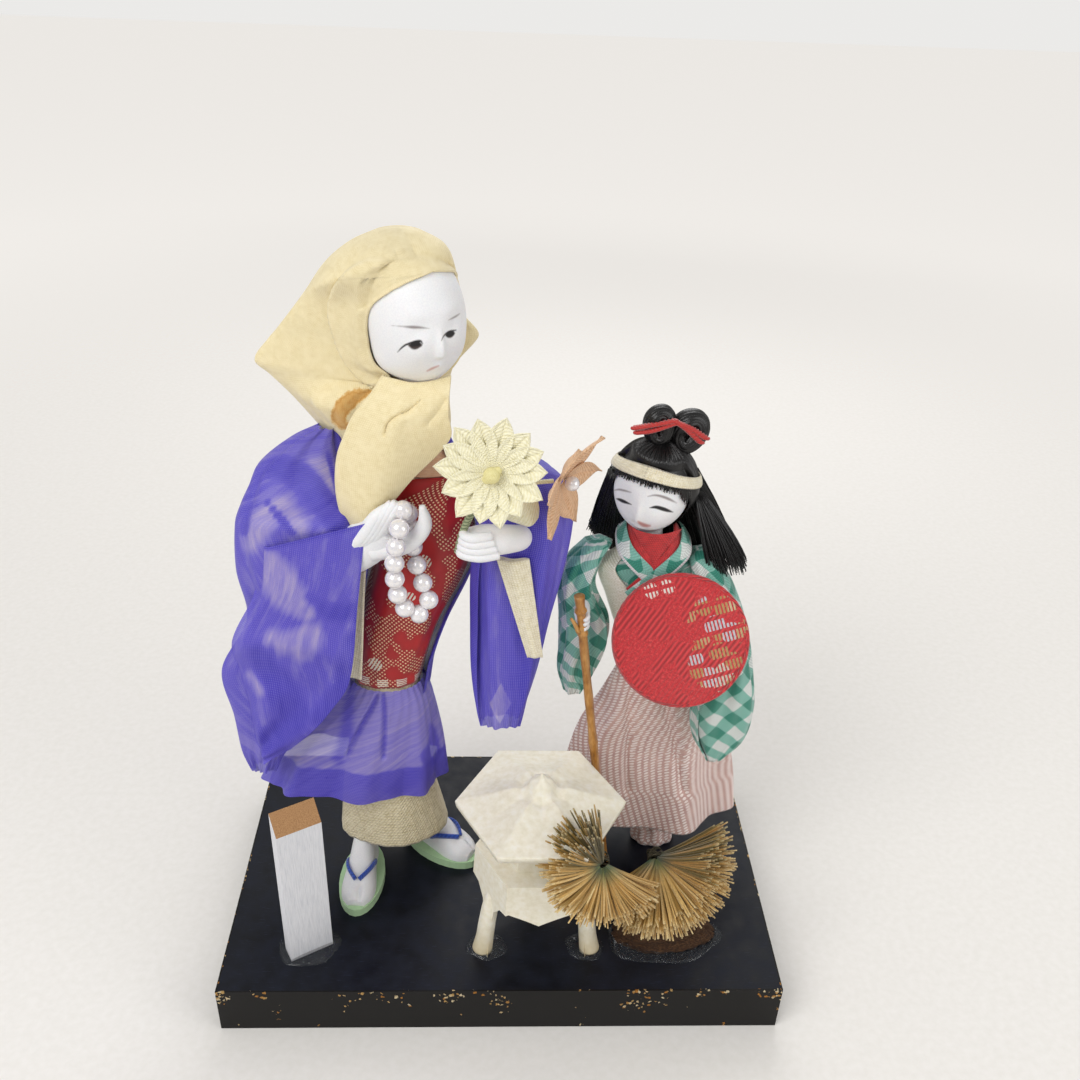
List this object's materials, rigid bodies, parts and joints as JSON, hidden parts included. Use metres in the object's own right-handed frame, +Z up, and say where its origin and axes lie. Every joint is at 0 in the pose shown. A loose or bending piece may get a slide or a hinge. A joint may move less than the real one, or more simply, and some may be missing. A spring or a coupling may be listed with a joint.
{
  "type": "japanese doll",
  "caption": "Craft doll group on a black board: a hooded nun with beads and flowers, a pilgrim girl with a stick and round hat, a stone lantern, pine and a sign post.",
  "frame": {"origin": "middle of the board's underside", "axes": "+Z up, +X to the viewer's right along the board's long side, +Y away from the viewer along its short side"},
  "size_m": [0.13, 0.078, 0.175],
  "materials": {
    "lacquered_wood": "matt black lacquer",
    "flecked_paper": "black paper with gold flecks",
    "whitewashed_wood": "white paint on bare wood",
    "plaster": "cream cast plaster",
    "dried_glue": "clear, glossy",
    "bark": "rough",
    "straw_bristle": "cut straw, dyed green at the root",
    "wire": "dull, twisted",
    "padding": "wound paper and cotton",
    "white_clay": "smooth white coat",
    "hood_cloth": "stiff cream cotton",
    "peach_cloth": "matt",
    "red_brocade": "satin with metallic thread",
    "purple_organza": "sheer",
    "cream_cloth": "coarse plain weave",
    "green_straw": "coated, ribbed",
    "blue_cord": "satin cord",
    "pearl": "pearl lustre",
    "cream_petal": "stiffened ribbon",
    "peach_petal": "stiffened ribbon",
    "green_stem": "wire wrapped in paper",
    "black_hair": "glossy silk thread",
    "red_ribbon": "twisted cord and plain cloth",
    "check_cloth": "woven check",
    "silver_weave": "metallic brocade",
    "pink_net": "dotted net",
    "cane": "varnished",
    "hat_brocade": "satin with metallic thread"
  },
  "bodies": {
    "figure_group": {"base_board": "lacquered_wood", "base_side_band": "flecked_paper", "sign_post": "whitewashed_wood", "lantern_stand": "plaster", "lantern_firebox": "plaster", "lantern_roof": "plaster", "glue_sign": "dried_glue", "glue_lantern_left": "dried_glue", "glue_lantern_right": "dried_glue", "glue_lantern_back": "dried_glue", "glue_pine": "dried_glue", "pine_bark": "bark", "pine_cluster_left": "straw_bristle", "pine_cluster_right": "straw_bristle", "pine_wire": "wire", "nun_padded_body": "padding", "child_padded_body": "padding", "nun_head": "white_clay", "nun_hand_right": "white_clay", "nun_hand_left": "white_clay", "nun_foot_right": "white_clay", "nun_foot_left": "white_clay", "child_head": "white_clay", "child_hand_right": "white_clay", "nun_hood": "hood_cloth", "nun_collar": "peach_cloth", "nun_brocade_bodice": "red_brocade", "nun_robe_skirt": "purple_organza", "nun_robe_back": "purple_organza", "nun_robe_sleeve_right": "purple_organza", "nun_robe_sleeve_left": "purple_organza", "nun_underskirt": "cream_cloth", "nun_inner_sleeve_right": "cream_cloth", "nun_inner_sleeve_left": "cream_cloth", "child_headband": "cream_cloth", "nun_sandal_right": "green_straw", "nun_sandal_left": "green_straw", "nun_thong_right": "blue_cord", "nun_thong_left": "blue_cord", "flower_peach_bead": "pearl", "flower_white": "cream_petal", "flower_white_bead": "cream_petal", "flower_leaf": "cream_petal", "flower_peach_stem": "cream_petal", "flower_peach": "peach_petal", "flower_stem": "green_stem", "child_hair": "black_hair", "child_bun_left": "black_hair", "child_bun_right": "black_hair", "child_ribbon": "red_ribbon", "child_inner_collar": "red_ribbon", "child_kimono": "check_cloth", "child_sleeve_right": "check_cloth", "child_sleeve_left": "check_cloth", "child_vest": "silver_weave", "child_skirt": "pink_net", "child_legs": "pink_net", "child_stick": "cane", "child_hat": "hat_brocade"},
    "rosary": {"rosary": "pearl"}
  },
  "joints": [
    {"name": "rosary_swing", "type": "hinge", "parent": "figure_group", "child": "rosary", "pos_m": [-0.0213, -0.0124, 0.124], "axis": [0, 1, 0], "range_deg": [-15, 15]}
  ]
}
